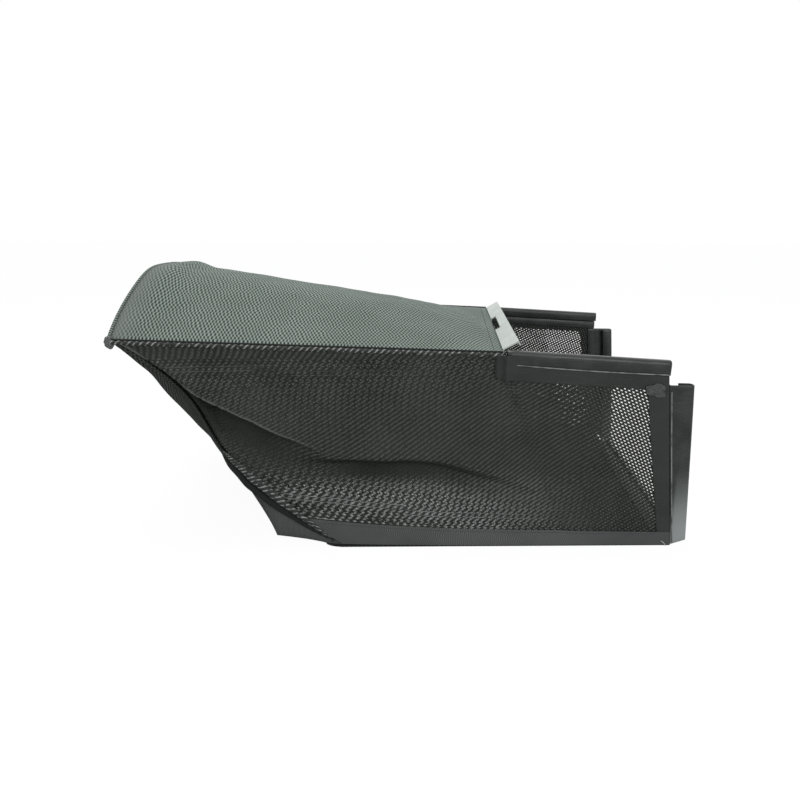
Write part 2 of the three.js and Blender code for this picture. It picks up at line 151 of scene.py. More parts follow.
def finished(name, shape, material, slot, nodes, thickness=None, rounding=None):
    """Moves a shape into the frame as a piece that rides with the bag and stands for its nodes."""
    bmesh.ops.translate(shape, verts=shape.verts, vec=(mouth_x, 0, 0))
    bmesh.ops.recalc_face_normals(shape, faces=shape.faces)
    mesh = bpy.data.meshes.new(name)
    shape.to_mesh(mesh)
    shape.free()
    mesh.shade_smooth()
    piece = bpy.data.objects.new(name, mesh)
    bpy.context.scene.collection.objects.link(piece)
    mesh.materials.append(material)
    if thickness:
        solid = piece.modifiers.new("thickness", "SOLIDIFY")
        solid.thickness = thickness
        solid.offset = 0
        solid.use_quality_normals = True
    if rounding:
        edge = piece.modifiers.new("rounding", "BEVEL")
        edge.width = rounding
        edge.segments = 2
        edge.limit_method = "ANGLE"
        edge.angle_limit = math.radians(50)
    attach(piece, "root")
    if nodes:
        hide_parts(*nodes)
    return piece


def node(tree, kind, inputs=(), **settings):
    made = tree.nodes.new(kind)
    for name, value in settings.items():
        setattr(made, name, value)
    for name, value in dict(inputs).items():
        if isinstance(value, bpy.types.NodeSocket):
            tree.links.new(value, made.inputs[name])
        else:
            made.inputs[name].default_value = value
    return made


def group(name, inputs, outputs):
    tree = bpy.data.node_groups.new(name, "ShaderNodeTree")
    for socket, (kind, value) in inputs.items():
        made = tree.interface.new_socket(socket, in_out="INPUT", socket_type=kind)
        if value is not None:
            made.default_value = value
    for socket, kind in outputs.items():
        tree.interface.new_socket(socket, in_out="OUTPUT", socket_type=kind)
    return tree, tree.nodes.new("NodeGroupInput").outputs, tree.nodes.new("NodeGroupOutput").inputs


def sums(tree, operation, a, b=0.5, c=0.5):
    return node(tree, "ShaderNodeMath", {0: a, 1: b, 2: c}, operation=operation).outputs[0]


def ramp(tree, value, low, high):
    """A soft step from 0 at low to 1 at high."""
    inputs = {"Value": value, "From Min": low, "From Max": high}
    return node(tree, "ShaderNodeMapRange", inputs, interpolation_type="SMOOTHSTEP").outputs[0]


def grain(tree, place, scale, detail=2.0, roughness=0.5):
    inputs = {"Vector": place, "Scale": scale, "Detail": detail, "Roughness": roughness}
    return node(tree, "ShaderNodeTexNoise", inputs).outputs["Fac"]


# The weave: staggered dots of yarn with dark gaps between them, on a flat cloth in metres
weave, given, wanted = group(
    "Yarn weave",
    {
        "Place": ("NodeSocketVector", None),
        "Across": ("NodeSocketFloat", 0.0036),
        "Along": ("NodeSocketFloat", 0.0042),
        "Slant": ("NodeSocketFloat", 0.0),
    },
    {"Yarn": "NodeSocketFloat", "Fibre": "NodeSocketFloat"},
)
parts = node(weave, "ShaderNodeSeparateXYZ", {0: given["Place"]}).outputs
wobble = grain(weave, given["Place"], 45.0, 1.0)
shift = sums(weave, "MULTIPLY", sums(weave, "SUBTRACT", wobble, 0.5), 0.005)
leaning = sums(weave, "MULTIPLY_ADD", parts["Y"], given["Slant"], parts["X"])
turn_x = sums(weave, "DIVIDE", sums(weave, "ADD", leaning, shift), given["Across"])
turn_y = sums(weave, "DIVIDE", sums(weave, "ADD", parts["Y"], shift), given["Along"])
wave_x = sums(weave, "SINE", sums(weave, "MULTIPLY", turn_x, 2 * math.pi))
wave_y = sums(weave, "SINE", sums(weave, "MULTIPLY", turn_y, 2 * math.pi))
dots = sums(weave, "MULTIPLY", wave_x, wave_y)
fibre = grain(weave, given["Place"], 900.0)
frayed = sums(weave, "MULTIPLY_ADD", fibre, 0.5, sums(weave, "SUBTRACT", dots, 0.25))
weave.links.new(ramp(weave, frayed, -0.7, 0.7), wanted["Yarn"])
weave.links.new(fibre, wanted["Fibre"])

# The fading and dust that any of the cloths and plastics has, in slow patches
fading, given, wanted = group(
    "Fading",
    {"Place": ("NodeSocketVector", None), "Size": ("NodeSocketFloat", 0.1)},
    {"Fading": "NodeSocketFloat"},
)
scale = sums(fading, "DIVIDE", 1.0, given["Size"])
slow = grain(fading, given["Place"], scale, 3.0, 0.55)
fading.links.new(ramp(fading, slow, 0.3, 0.7), wanted["Fading"])


def mixed(tree, share, a, b):
    made = node(tree, "ShaderNodeMix", data_type="RGBA")
    for socket, value in ((0, share), (6, a), (7, b)):
        if isinstance(value, bpy.types.NodeSocket):
            tree.links.new(value, made.inputs[socket])
        else:
            made.inputs[socket].default_value = value if socket == 0 else (*value, 1)
    return made.outputs[2]


def started(name, roughness, **plain):
    """A material's tree, with its Principled shader and the plain values of its sockets."""
    material = bpy.data.materials.new(name)
    material.use_nodes = True
    tree = material.node_tree
    shader = tree.nodes["Principled BSDF"]
    shader.inputs["Roughness"].default_value = roughness
    for socket, value in plain.items():
        shader.inputs[socket.replace("_", " ")].default_value = value
    return material, tree, shader


def surfaced(tree, shader, colour, height, distance):
    """Gives a material its colour and its fine relief, of a depth in metres."""
    tree.links.new(colour, shader.inputs["Base Color"])
    made = node(tree, "ShaderNodeBump", {"Height": height, "Distance": distance, "Strength": 1.0})
    tree.links.new(made.outputs["Normal"], shader.inputs["Normal"])


def object_place(tree):
    return node(tree, "ShaderNodeTexCoord").outputs["Object"]


def cloth_place(tree, uv_map="cloth"):
    return node(tree, "ShaderNodeUVMap", uv_map=uv_map).outputs["UV"]


def patches(tree, size):
    """How faded the surface is, in slow patches of about this size."""
    inputs = {"Place": object_place(tree), "Size": size}
    return node(tree, "ShaderNodeGroup", inputs, node_tree=fading).outputs["Fading"]


def threads(tree, across, along, slant=0.0):
    inputs = {"Place": cloth_place(tree), "Across": across, "Along": along, "Slant": slant}
    return node(tree, "ShaderNodeGroup", inputs, node_tree=weave).outputs


def woven(name, gap, yarn, faded, across, along, slant=0.0, height=0.0004, gloss=0.2, plain=None):
    """A woven cloth's material; plain gives the axis, start, end and colour of a margin without dots."""
    sheen = {"Sheen_Weight": 0.04, "Sheen_Roughness": 0.4}
    material, tree, shader = started(name, 0.8, Specular_IOR_Level=gloss, **sheen)
    yarns = threads(tree, across, along, slant)
    tone = mixed(tree, patches(tree, 0.09), yarn, faded)
    colour = mixed(tree, yarns["Yarn"], gap, tone)
    if plain:
        axis, start, end, margin = plain
        along_cloth = node(tree, "ShaderNodeSeparateXYZ", {0: cloth_place(tree)}).outputs[axis]
        uneven = sums(tree, "MULTIPLY_ADD", yarns["Fibre"], 0.02, along_cloth)
        share = sums(tree, "MULTIPLY", ramp(tree, uneven, start, end), 0.85)
        colour = mixed(tree, share, colour, margin)
    surfaced(tree, shader, colour, yarns["Yarn"], height)
    return material


dark_yarn = {
    "gap": (0.010, 0.012, 0.010),
    "yarn": (0.052, 0.056, 0.052),
    "faded": (0.085, 0.090, 0.084),
    "across": 0.0056,
    "along": 0.0048,
    "slant": 0.3,
    "gloss": 0.1,
}
back_weave = woven("Back weave", plain=("Y", 0.15, 0.07, (0.105, 0.108, 0.106)), **dark_yarn)
back_shape = laid(110, 120, lambda u, v: back(1 - 2 * closer(u), v), 0.46, 0.47, across=closer)
back_cloth = finished("back_cloth", back_shape, back_weave, "dense_weave", ["back_panel"], cloth_thickness)

# Top panel
# A paler, denser cloth, sewn to the strip in front and to the rolled seams at its sides and rear.
# The frame's handle once held it up, so it keeps a crown that rises to a hump near the rear.
seam_start = Vector((-0.2221, 0.2, 0.2437))
top_length = 0.478
flat_share = 0.0198 / top_length  # over the strip's flange


def top_seam(share):
    return seam_start.lerp(top_corner, share)


def top(u, v):
    s = 1 - 2 * closer(v)
    seam = top_seam(u)
    rise = crown((u - flat_share) / (1 - flat_share)) * ridge(s)
    point = Vector((seam.x + seam_inset * u - overhang(s) * u**3, (seam.y - seam_inset) * s, seam.z + rise))
    free = (1 - abs(s) ** 6) * smooth(u, 0.05, 0.15) * (1 - smooth(u, 0.95, 1))
    point.z += free * (0.0035 * wrinkle(point, 0.11) + 0.001 * wrinkle(point, 0.03, 3))
    point.z -= 0.0016 * smooth(abs(s), 0.975, 1)
    return point


dense_cloth = woven(
    "Dense weave",
    gap=(0.016, 0.026, 0.020),
    yarn=(0.235, 0.283, 0.247),
    faded=(0.285, 0.335, 0.297),
    across=0.0047,
    along=0.0125,
    slant=0.08,
    plain=("X", 0.464, 0.505, (0.150, 0.165, 0.155)),
)
top_shape = laid(120, 110, top, 0.49, 0.47, along=closer)
top_cloth = finished("top_cloth", top_shape, dense_cloth, "dense_weave", ["top_panel"], cloth_thickness)

# Floor panel
# A flat piece of the back's dark cloth, which the bag stands on. Its sides run under the mesh
# sides, and its rear edge follows the floor seam of the back.
floor_length = 0.416
floor_thickness = 0.0015
foot_half_width, heel_half_width = 0.205, 0.246  # at the mouth and at the rear
upright_top = 0.208
mouth_lean = 0.024 / upright_top
cloth_edge = 0.0021  # from a clip's step to the edge of its cloth
outside = 0.0014  # from a side's middle to the tapes on it


def mouth_front(z):
    return -mouth_lean * z


def floor_half_width(x):
    return foot_half_width + (heel_half_width - foot_half_width) * -x / floor_length


def floor(u, v):
    s = 1 - 2 * closer(v)
    front_x = -cloth_edge
    rear_x = back(s, 0).x + 0.001  # just short of the back
    reach = outside + 0.0002  # into the bands
    front = floor_half_width(front_x) + reach
    rear = floor_half_width(-floor_length) + reach - 0.0008
    return Vector((front_x + (rear_x - front_x) * u, s * (front + (rear - front) * u), floor_thickness / 2))


slack_weave = woven("Slack weave", **dark_yarn)
floor_form = laid(60, 60, floor, 0.43, 0.46, along=closer)
floor_cloth = finished(
    "floor_cloth", floor_form, slack_weave, "dense_weave", ["floor_panel"], floor_thickness
)

# Mesh sides
# Coated yarn woven open, so that air leaves the bag and grass doesn't. Each side is one slack
# piece that folds over itself towards the rear, where the empty bag leans back on its heel.
slit_along = Vector((0.00475, 0.00211))  # from one slit to the next in its row
slit_up = Vector((0.00107, 0.00424))  # from one row to the next
# Half the yarn's width, each up to a share of the length: the slits are widest beside the mouth
yarn_halves = ((0.14, 0.00108), (0.22, 0.00122), (0.32, 0.00138), (1.0, 0.00154))
selvedge = 0.0035
mesh_foot = 0.009
side_sole = 0.001
side_front_top = 0.2189
rail_share, rise_share = 8 / 28, 9 / 28
rail_rear_x = -0.217
mouth_half_width = 0.2
back_seam_start = 0.02


def side_foot(u):
    front = mouth_front(side_sole) - cloth_edge
    x = front + (-floor_length + seam_inset - front) * u
    return Vector((x, floor_half_width(x), side_sole))


def side_back(v):
    share = 1 + (back_seam_start - 1) * v
    way = (back_seam(share + 0.001) - back_seam(share - 0.001)).normalized()
    return back_seam(share) + Vector((-way.z, 0, way.x)) * seam_inset


head_marks = (
    Vector((mouth_front(side_front_top) - cloth_edge, mouth_half_width, side_front_top)),
    Vector((rail_rear_x, mouth_half_width, 0.2279)),
    top_seam(0.03) - Vector((0, 0, seam_inset)),
    side_back(1),
)


def side_head(u):
    front, rail_end, seam_front, rear = head_marks
    if u <= rail_share:
        return front.lerp(rail_end, u / rail_share)
    if u <= rise_share:
        return rail_end.lerp(seam_front, (u - rail_share) / (rise_share - rail_share))
    return seam_front.lerp(rear, (u - rise_share) / (1 - rise_share))


def fold(below, stand, depth, drop, reach):
    """Cloth that stands out down to its edge, drops back under it, and comes out again below."""
    if below < 0:
        return stand * bump(below, 0, reach)
    dropped = depth * smooth(below, 0, drop) * bump(max(0, below - drop), 0, reach)
    return stand - dropped - stand * smooth(below, drop, 2 * reach)


def side_fold(x, z):
    """How far the cloth stands out and is tucked up, where its crease gets a painted highlight, and how much
    painted shade lies in the fold under it.
    """
    upper_edge = 0.1325 + 0.49 * (-0.472 - x) + 0.15 * max(0, -0.585 - x)
    below = 0.9 * (upper_edge - z)
    strength = 1 - smooth(x, -0.53, -0.43)
    drop = 0.007
    stand = strength * fold(below, stand=0.014, depth=0.030, drop=drop, reach=0.038)
    tuck = strength * 0.011 * smooth(below, 0, drop) * bump(max(0, below - drop), 0, 0.018)
    # Painted highlight: a narrow band along each crease's edge, where the fold catches the light.
    crease_highlight = strength * bump(below, 0, 0.0016)
    lower_edge = 0.112 - 0.055 * smooth(x, -0.33, -0.08)
    lower = smooth(x, -0.49, -0.40) * (1 - smooth(x, -0.36, -0.13))
    under = lower_edge - z
    stand += lower * fold(under, stand=0.009, depth=0.024, drop=0.014, reach=0.036)
    # Painted shade: the cloth under each fold is darkened where shade falls in it.
    fold_shade = strength * smooth(below, 0, 0.004) * (1 - smooth(below, 0.025, 0.06))
    fold_shade += lower * smooth(under, 0, 0.012) * (1 - smooth(under, 0.026, 0.042))
    return stand, tuck, crease_highlight, min(fold_shade, 1)


def side(u, v, creases=True):
    foot, head = side_foot(u), side_head(u)
    point = foot.lerp(head, v)
    point.y = foot.y + (head.y - foot.y) * (1 - (1 - v) ** 2.2)
    straight = side_foot(1).lerp(side_head(1), v)
    point += (side_back(v) - straight) * u**4
    free = smooth(u, 0.06, 0.2) * (1 - smooth(u, 0.972, 1))
    free *= smooth(v, 0.07, 0.24) * (1 - smooth(v, 0.88, 0.98))
    stand, tuck = side_fold(point.x, point.z)[:2]
    point.y += stand * free
    if creases:
        point.z += tuck * free
        point.y += free * (0.005 * wrinkle(point, 0.08, 7) + 0.0022 * wrinkle(point, 0.030, 2))
    return point


def fold_marks(u, v):
    plain = side(u, v, False)
    return side_fold(plain.x, plain.z)[2:]


def make_mesh_side():
    """Rows of slanted slits in a flat sheet, cut to the side's outline and laid on its form."""
    cloth = bmesh.new()
    count = 190
    bmesh.ops.create_grid(cloth, x_segments=count, y_segments=count, size=count / 2)
    lattice = Matrix(((slit_along.x, slit_up.x, 0), (slit_along.y, slit_up.y, 0), (0, 0, 1))).to_4x4()
    bmesh.ops.transform(cloth, matrix=lattice, verts=cloth.verts)
    middle = Vector((0.30, 0.12, 0))
    bmesh.ops.translate(cloth, verts=cloth.verts, vec=middle)
    up_steps, head_steps, front_height, rear_height = 40, 80, 0.22, 0.235
    fronts = [mouth_front(front_height * i / up_steps) for i in range(up_steps + 1)]
    lengths = [front - side_back(i / up_steps).x for i, front in enumerate(fronts)]
    heads = [side_head(i / head_steps).z for i in range(head_steps + 1)]

    def shares(point):
        up = min(max(point.y / rear_height, 0), 1)
        length = lengths[round(up * up_steps)]
        u = point.x / length
        head = heads[round(min(max(u, 0), 1) * head_steps)]
        return u, (point.y - mesh_foot) / (head - mesh_foot), length, head - mesh_foot

    def is_out(face):
        spots = [shares(vert.co) for vert in face.verts]
        us, vs = [s[0] for s in spots], [s[1] for s in spots]
        return max(us) <= 0 or min(us) >= 1 or max(vs) <= 0 or min(vs) >= 1

    bmesh.ops.delete(cloth, geom=[f for f in cloth.faces if is_out(f)], context="FACES")

    def is_open(face):
        u, v, length, height = shares(face.calc_center_median())
        return selvedge < u * length < length - selvedge and selvedge < v * height < height - selvedge

    slits = [(shares(face.calc_center_median())[0], face) for face in cloth.faces if is_open(face)]
    begin = 0
    for end, yarn_half in yarn_halves:
        faces = [face for u, face in slits if begin <= u < end]
        bmesh.ops.inset_individual(cloth, faces=faces, thickness=yarn_half, use_even_offset=True)
        begin = end
    bmesh.ops.delete(cloth, geom=[face for _, face in slits], context="FACES")
    flat = cloth.loops.layers.uv.new("cloth")
    knots = cloth.loops.layers.uv.new("knots")
    edge = cloth.verts.layers.float.new("fold_highlight")
    fold_shade = cloth.verts.layers.float.new("fold_shade")
    to_knots = lattice.inverted()
    for face in cloth.faces:
        for loop in face.loops:
            loop[flat].uv = loop.vert.co.xy
            loop[knots].uv = (to_knots @ (loop.vert.co - middle)).xy
    foot_share = (mesh_foot - side_sole) / (side_front_top - side_sole)
    for vert in cloth.verts:
        u, v = shares(vert.co)[:2]
        u, v = min(max(u, 0), 1), min(max(v, 0), 1)
        v = foot_share + (1 - foot_share) * v
        vert[edge], vert[fold_shade] = fold_marks(u, v)
        vert.co = side(u, v)
    bmesh.ops.dissolve_degenerate(cloth, dist=1e-5, edges=cloth.edges)
    return cloth


def mirrored(shape):
    bmesh.ops.scale(shape, verts=shape.verts, vec=(1, -1, 1))
    return shape


open_mesh, tree, shader = started("Coated yarn", 0.55, Specular_IOR_Level=0.14)
turns = node(tree, "ShaderNodeSeparateXYZ", {0: cloth_place(tree, "knots")}).outputs
waves = [sums(tree, "COSINE", sums(tree, "MULTIPLY", turns[axis], 2 * math.pi)) for axis in ("X", "Y")]
knot = ramp(tree, sums(tree, "MULTIPLY", waves[0], waves[1]), -0.1, 0.9)
twist = grain(tree, cloth_place(tree), 420.0)
spot = node(tree, "ShaderNodeSeparateXYZ", {0: object_place(tree)}).outputs
# Painted shade: the knots of the yarn are dimmed where shade falls in the folds.
fold_shade_mask = node(tree, "ShaderNodeAttribute", attribute_name="fold_shade").outputs["Fac"]
unshaded = sums(tree, "MULTIPLY_ADD", fold_shade_mask, -0.85, 1.0)
# Painted highlights: the knots of the yarn are painted pale, most of all low at the rear, where the cloth
# faces up to the lamps.
low_rear_light = sums(tree, "MULTIPLY", ramp(tree, spot["Z"], 0.105, 0.06), ramp(tree, spot["X"], 0.26, 0.08))
knot_light = sums(tree, "MULTIPLY_ADD", low_rear_light, 0.7, 0.3)
tone = mixed(tree, patches(tree, 0.07), (0.014, 0.016, 0.013), (0.024, 0.027, 0.023))
crests = sums(tree, "MULTIPLY", knot, ramp(tree, twist, 0.2, 0.7))
painted_knot_highlight = sums(tree, "MULTIPLY", sums(tree, "MULTIPLY", knot_light, unshaded), crests)
raised = mixed(tree, painted_knot_highlight, tone, (0.60, 0.61, 0.60))
# Painted highlight: a paler colour along the edge of each crease.
edge = node(tree, "ShaderNodeAttribute", attribute_name="fold_highlight").outputs["Fac"]
colour = mixed(tree, sums(tree, "MULTIPLY", edge, 0.7), raised, (0.20, 0.21, 0.19))
surfaced(tree, shader, colour, sums(tree, "ADD", twist, knot), 0.0004)

left_mesh = make_mesh_side()
for name, shape in (("right", mirrored(left_mesh.copy())), ("left", left_mesh)):
    cloth = finished(f"{name}_mesh", shape, open_mesh, "side_mesh", [f"{name}_side_panel"], 0.001)

# Rolled seams along the top
# The mesh is rolled over a cord and sewn to the top cloth, which leaves a dark groove above the roll; the
# cord is painted near-black to stand for the shade in the groove. Both seams end in the rear corners, where
# the roll is folded into a nub.
binding, tree, shader = started("Binding", 0.75, Specular_IOR_Level=0.15, Sheen_Weight=0.03)
yarns = threads(tree, 0.0018, 0.0018)
tone = mixed(tree, patches(tree, 0.06), (0.060, 0.063, 0.060), (0.092, 0.097, 0.093))
colour = mixed(tree, sums(tree, "MULTIPLY", yarns["Yarn"], 0.6), (0.03, 0.032, 0.03), tone)
surfaced(tree, shader, colour, yarns["Yarn"], 0.0002)

# Painted shade: a near-black cord that stands for the shade in the groove and under the heel folds.
painted_shade_black, tree, shader = started("Groove cord", 0.85, Specular_IOR_Level=0.2)
strands = grain(tree, object_place(tree), 700.0)
surfaced(tree, shader, mixed(tree, strands, (0.010, 0.012, 0.011), (0.022, 0.024, 0.022)), strands, 0.0003)


def roll(at, length, radius, facets=10, step=0.002, ribs=0.0, pitch=0.006):
    """A closed roll of cloth round a line, with slanted ribs where the mesh shows in it."""

    def place(u, v):
        angle = 2 * math.pi * v
        share = min(max(u, 0.0005), 0.9995)
        way = (at(share + 0.0005) - at(share - 0.0005)).normalized()
        beside = way.cross(Vector((0, 0, 1))).normalized()
        up = beside.cross(way)
        rib = 1 + ribs * math.sin(2 * math.pi * (u * length / pitch) + 2 * angle)
        return at(share) + (beside * math.cos(angle) + up * math.sin(angle)) * radius * rib

    shape = laid(max(2, round(length / step)), facets, place, length, 2 * math.pi * radius)
    bmesh.ops.remove_doubles(shape, verts=shape.verts, dist=1e-6)
    bmesh.ops.holes_fill(shape, edges=shape.edges, sides=facets)
    return shape


hem_pitch = 0.0075
hem_radius = 0.0026
# Painted highlights: the rolled mesh's slanted ribs are painted pale in dashes, where the yarn of the roll
# catches the light.
hem_roll, tree, shader = started("Rolled mesh", 0.6, Specular_IOR_Level=0.2)
flat = node(tree, "ShaderNodeSeparateXYZ", {0: cloth_place(tree)}).outputs
along_roll = sums(tree, "MULTIPLY", flat["X"], 2 * math.pi / hem_pitch)
turns = sums(tree, "MULTIPLY_ADD", flat["Y"], 2 / hem_radius, along_roll)
rib = ramp(tree, sums(tree, "SINE", turns), 0.0, 1.0)
speckle = ramp(tree, grain(tree, object_place(tree), 260.0), 0.35, 0.6)
colour = mixed(tree, sums(tree, "MULTIPLY", rib, speckle), (0.030, 0.033, 0.030), (0.34, 0.35, 0.34))
surfaced(tree, shader, colour, rib, 0.0005)


def hem(share):
    return top_seam(share) + Vector((0, 0.0012, -0.0030))


def on_both_sides(kind, make, material, slot, stands_for="", **solidity):
    """A piece on the left and its mirror image on the right, made anew for each side."""
    for name in ("left", "right"):
        shape = make()
        if name == "right":
            mirrored(shape)
        nodes = [f"{name}_{stands_for}"] if stands_for else []
        finished(f"{name}_{kind}", shape, material, slot, nodes, **solidity)


def seam_cord():
    return roll(top_seam, top_length, radius=0.0017, facets=8)


def seam_roll():
    return roll(hem, top_length, hem_radius, facets=12, step=0.001, ribs=0.14, pitch=hem_pitch)


on_both_sides("seam_cord", seam_cord, painted_shade_black, "binding", "top_seam")
on_both_sides("seam_roll", seam_roll, hem_roll, "side_mesh")

# Back seams and rear seam
# Narrow rolled seams: one down each side of the back, and one over the ridge between the corners.
seam_radius = 0.0019


def back_roll():
    return roll(lambda t: back_seam(back_seam_start + 0.968 * t), 0.44, seam_radius, ribs=0.06)


on_both_sides("back_roll", back_roll, slack_weave, "binding", "back_seam")
rear_roll = roll(lambda t: rear_seam(1.97 * (t - 0.5)), 0.48, seam_radius, ribs=0.05)
finished("rear_roll", rear_roll, dense_cloth, "binding", ["rear_seam"])

# Heel folds
# Low down, each side is tucked in a soft fold over the end of the back seam, with a near-black roll under it
# as painted shadow.
heel_from, heel_to = 0.63, 0.985


def heel_line(t, lift):
    share = heel_from + (heel_to - heel_from) * t
    return back_seam(share) + lift * math.sin(math.pi * t) ** 0.6


def heel_fold(lift, thick, flatness):
    """A closed fold of cloth along the heel, thick in its middle and pressed flat."""

    def place(u, v):
        angle = 2 * math.pi * v
        share = min(max(u, 0.001), 0.999)
        way = (heel_line(share + 0.001, lift) - heel_line(share - 0.001, lift)).normalized()
        beside = way.cross(Vector((0, 0, 1))).normalized()
        up = beside.cross(way)
        uneven = thick + 0.0012 * wrinkle(Vector((share, 0, v)), 0.12, 3)
        swell = 0.0004 + math.sin(math.pi * share) ** 0.7 * uneven
        spread = beside * (math.cos(angle) * swell * flatness) + up * (math.sin(angle) * swell)
        return heel_line(share, lift) + spread

    shape = laid(90, 16, place, 0.20, 0.026)
    bmesh.ops.remove_doubles(shape, verts=shape.verts, dist=1e-6)
    bmesh.ops.holes_fill(shape, edges=shape.edges, sides=16)
    return shape


fold_lift, shadow_lift = Vector((0.006, 0.0050, 0.006)), Vector((-0.002, 0.0026, -0.0035))
# The heel folds wear the rolled mesh, with its painted highlights.
on_both_sides("heel_fold", lambda: heel_fold(fold_lift, thick=0.0050, flatness=0.7), hem_roll, "side_mesh")
# Painted shadow: a near-black roll under each heel fold.
on_both_sides("heel_shadow", lambda: heel_fold(shadow_lift, thick=0.0042, flatness=0.5), painted_shade_black, "binding")

# Corner nubs
# Where the rolled seams meet at each rear corner they are folded into one soft lump and tacked.
nub_cloth = woven(
    "Nub cloth",
    gap=(0.060, 0.066, 0.062),
    yarn=(0.185, 0.200, 0.190),
    faded=(0.235, 0.250, 0.240),
    across=0.0030,
    along=0.0030,
)
nub_middle = top_corner + Vector((0.0005, -0.0005, -0.0035))
nub_half = Vector((0.0062, 0.0052, 0.0075))


def corner_nub():
    nub = bmesh.new()
    bmesh.ops.create_icosphere(nub, subdivisions=4, radius=1)
    flat = nub.loops.layers.uv.new("cloth")
    for face in nub.faces:
        for loop in face.loops:
            loop[flat].uv = (loop.vert.co.x * nub_half.x, loop.vert.co.z * nub_half.z)
    for vert in nub.verts:
        crease = 1 + 0.22 * wrinkle(vert.co, 0.7, 4) - 0.16 * bump(vert.co.z - 0.5 * vert.co.x, 0.25, 0.16)
        swollen = Vector((vert.co.x * nub_half.x, vert.co.y * nub_half.y, vert.co.z * nub_half.z))
        vert.co = nub_middle + swollen * crease
    return nub


on_both_sides("corner_nub", corner_nub, nub_cloth, "binding")

# Bands and tapes
# Smooth dense tape, sewn on outside the mesh: along the floor, under each rail and beside each
# upright. One more covers the seam between the floor and the back, inside the bag.
smooth_cloth = woven(
    "Smooth dark tape",
    gap=(0.052, 0.055, 0.054),
    yarn=(0.098, 0.102, 0.101),
    faded=(0.150, 0.155, 0.153),
    across=0.0022,
    along=0.0022,
    height=0.0001,
)


def beside_side(offset, u_range=(0, 1), v_range=(0, 1)):
    """Places on a side, or on a part of it, that lie this far outside its middle."""

    def place(u, v):
        u = u_range[0] + (u_range[1] - u_range[0]) * u
        v = v_range[0] + (v_range[1] - v_range[0]) * v
        step = 0.004
        along = side(min(u + step, 1), v, False) - side(max(u - step, 0), v, False)
        up = side(u, min(v + step, 1), False) - side(u, max(v - step, 0), False)
        return side(u, v, False) + along.cross(up).normalized() * offset

    return place


side_height = side_front_top - side_sole
band_height, rail_tape_height, upright_tape_width = 0.017, 0.018, 0.016
band_top = band_height / side_height
rail_tape_foot = 1 - rail_tape_height / side_height
tape_gap = 0.0003 / side_height
tape_share = upright_tape_width / floor_length
upright_tape_range = (band_top + tape_gap, rail_tape_foot - tape_gap)
tapes = {
    "floor_band": (140, 5, (0, 1), (0, band_top), 0.416, band_height),
    "rail_tape": (50, 6, (0, rail_share), (rail_tape_foot, 1), 0.19, rail_tape_height),
    "upright_tape": (8, 50, (0, tape_share), upright_tape_range, 0.026, 0.18),
}
middle = outside + 0.0005  # from a side's middle to the middle of a tape
for kind, (columns, rows, us, vs, width, length) in tapes.items():
    cloth = smooth_cloth if kind == "floor_band" else binding
    place = beside_side(middle, us, vs)
    on_both_sides(
        f"{kind}_cloth",
        lambda: laid(columns, rows, place, width, length),
        cloth,
        "binding",
        kind,
        thickness=0.001,
        rounding=0.0003,
    )


def back_tape(u, v):
    s = 0.55 - 1.1 * v
    joint = back(s, 0)
    return Vector((joint.x + (0.5 - u) * 0.02, joint.y, floor_thickness + 0.0008))


finished("back_tape_cloth", laid(6, 60, back_tape, 0.02, 0.27), binding, "binding", ["back_tape"], 0.001)

# Tabs and corner patches
# A folded tab of the same tape wraps the rear end of each rail, and a crumpled patch tacks the
# mesh, the tapes and the upright together at the front corner.
over_tape = middle + 0.0013
tab_foot = 0.2097
tab_top = 0.2412


def tab(u, v):
    x = rail_rear_x + 0.012 - 0.026 * u
    y = mouth_half_width + 0.025 * max(0, (seam_start.x - x) / top_length) + over_tape
    y += 0.0052 * bump(u, 0.45, 0.15) + 0.0020 * bump(u, 0.86, 0.09) - 0.0008 * smooth(u, 0.9, 1)
    z = tab_foot + (tab_top - tab_foot) * v + 0.004 * (1 - v) * smooth(u, 0.35, 1)
    point = Vector((x, y, z))
    point.y += 0.0010 * wrinkle(point, 0.008, 1) * smooth(v, 0, 0.2)
    return point


patch_middle = rail_tape_foot
patch_half = 0.0065 / side_height
head_length = 0.66  # of a side, at the height of the patch


def patch(u, v):
    along = (0.006 + 0.022 * u) / head_length
    up = patch_middle + patch_half * (2 * v - 1) * (1 + 0.25 * math.sin(5 * u))
    point = beside_side(over_tape + 0.0006)(along, up)
    crumple = 0.0022 * wrinkle(point, 0.0042, 6) + 0.0012 * wrinkle(point, 0.0022, 3)
    point.y += crumple + 0.0008 * math.sin(math.pi * v)
    point.x += 0.0012 * wrinkle(point, 0.005, 2)
    point.z += 0.0014 * wrinkle(point, 0.005, 9)
    return point


tacked = {"thickness": 0.0011, "rounding": 0.0003}
tab_shape = (40, 40, tab, 0.026, 0.031)
patch_shape = (40, 28, patch, 0.022, 0.013)
on_both_sides("rail_tab_cloth", lambda: laid(*tab_shape), binding, "binding", "rail_tab", **tacked)
on_both_sides(
    "corner_patch_cloth", lambda: laid(*patch_shape), smooth_cloth, "binding", "corner_patch", **tacked
)

# Stitching
# Lockstitched lines of dark thread hold the tapes to the mesh and the top to the strip.
stitch_pitch = 0.0042
thread_radius = 0.00035


def spun(name, gloss, dark, light):
    """A twisted thread's material."""
    material, tree, shader = started(name, 0.6, Specular_IOR_Level=gloss)
    ply = grain(tree, object_place(tree), 1500.0)
    surfaced(tree, shader, mixed(tree, ply, dark, light), ply, 0.0001)
    return material


thread = spun("Thread", 0.35, (0.030, 0.032, 0.030), (0.085, 0.088, 0.085))


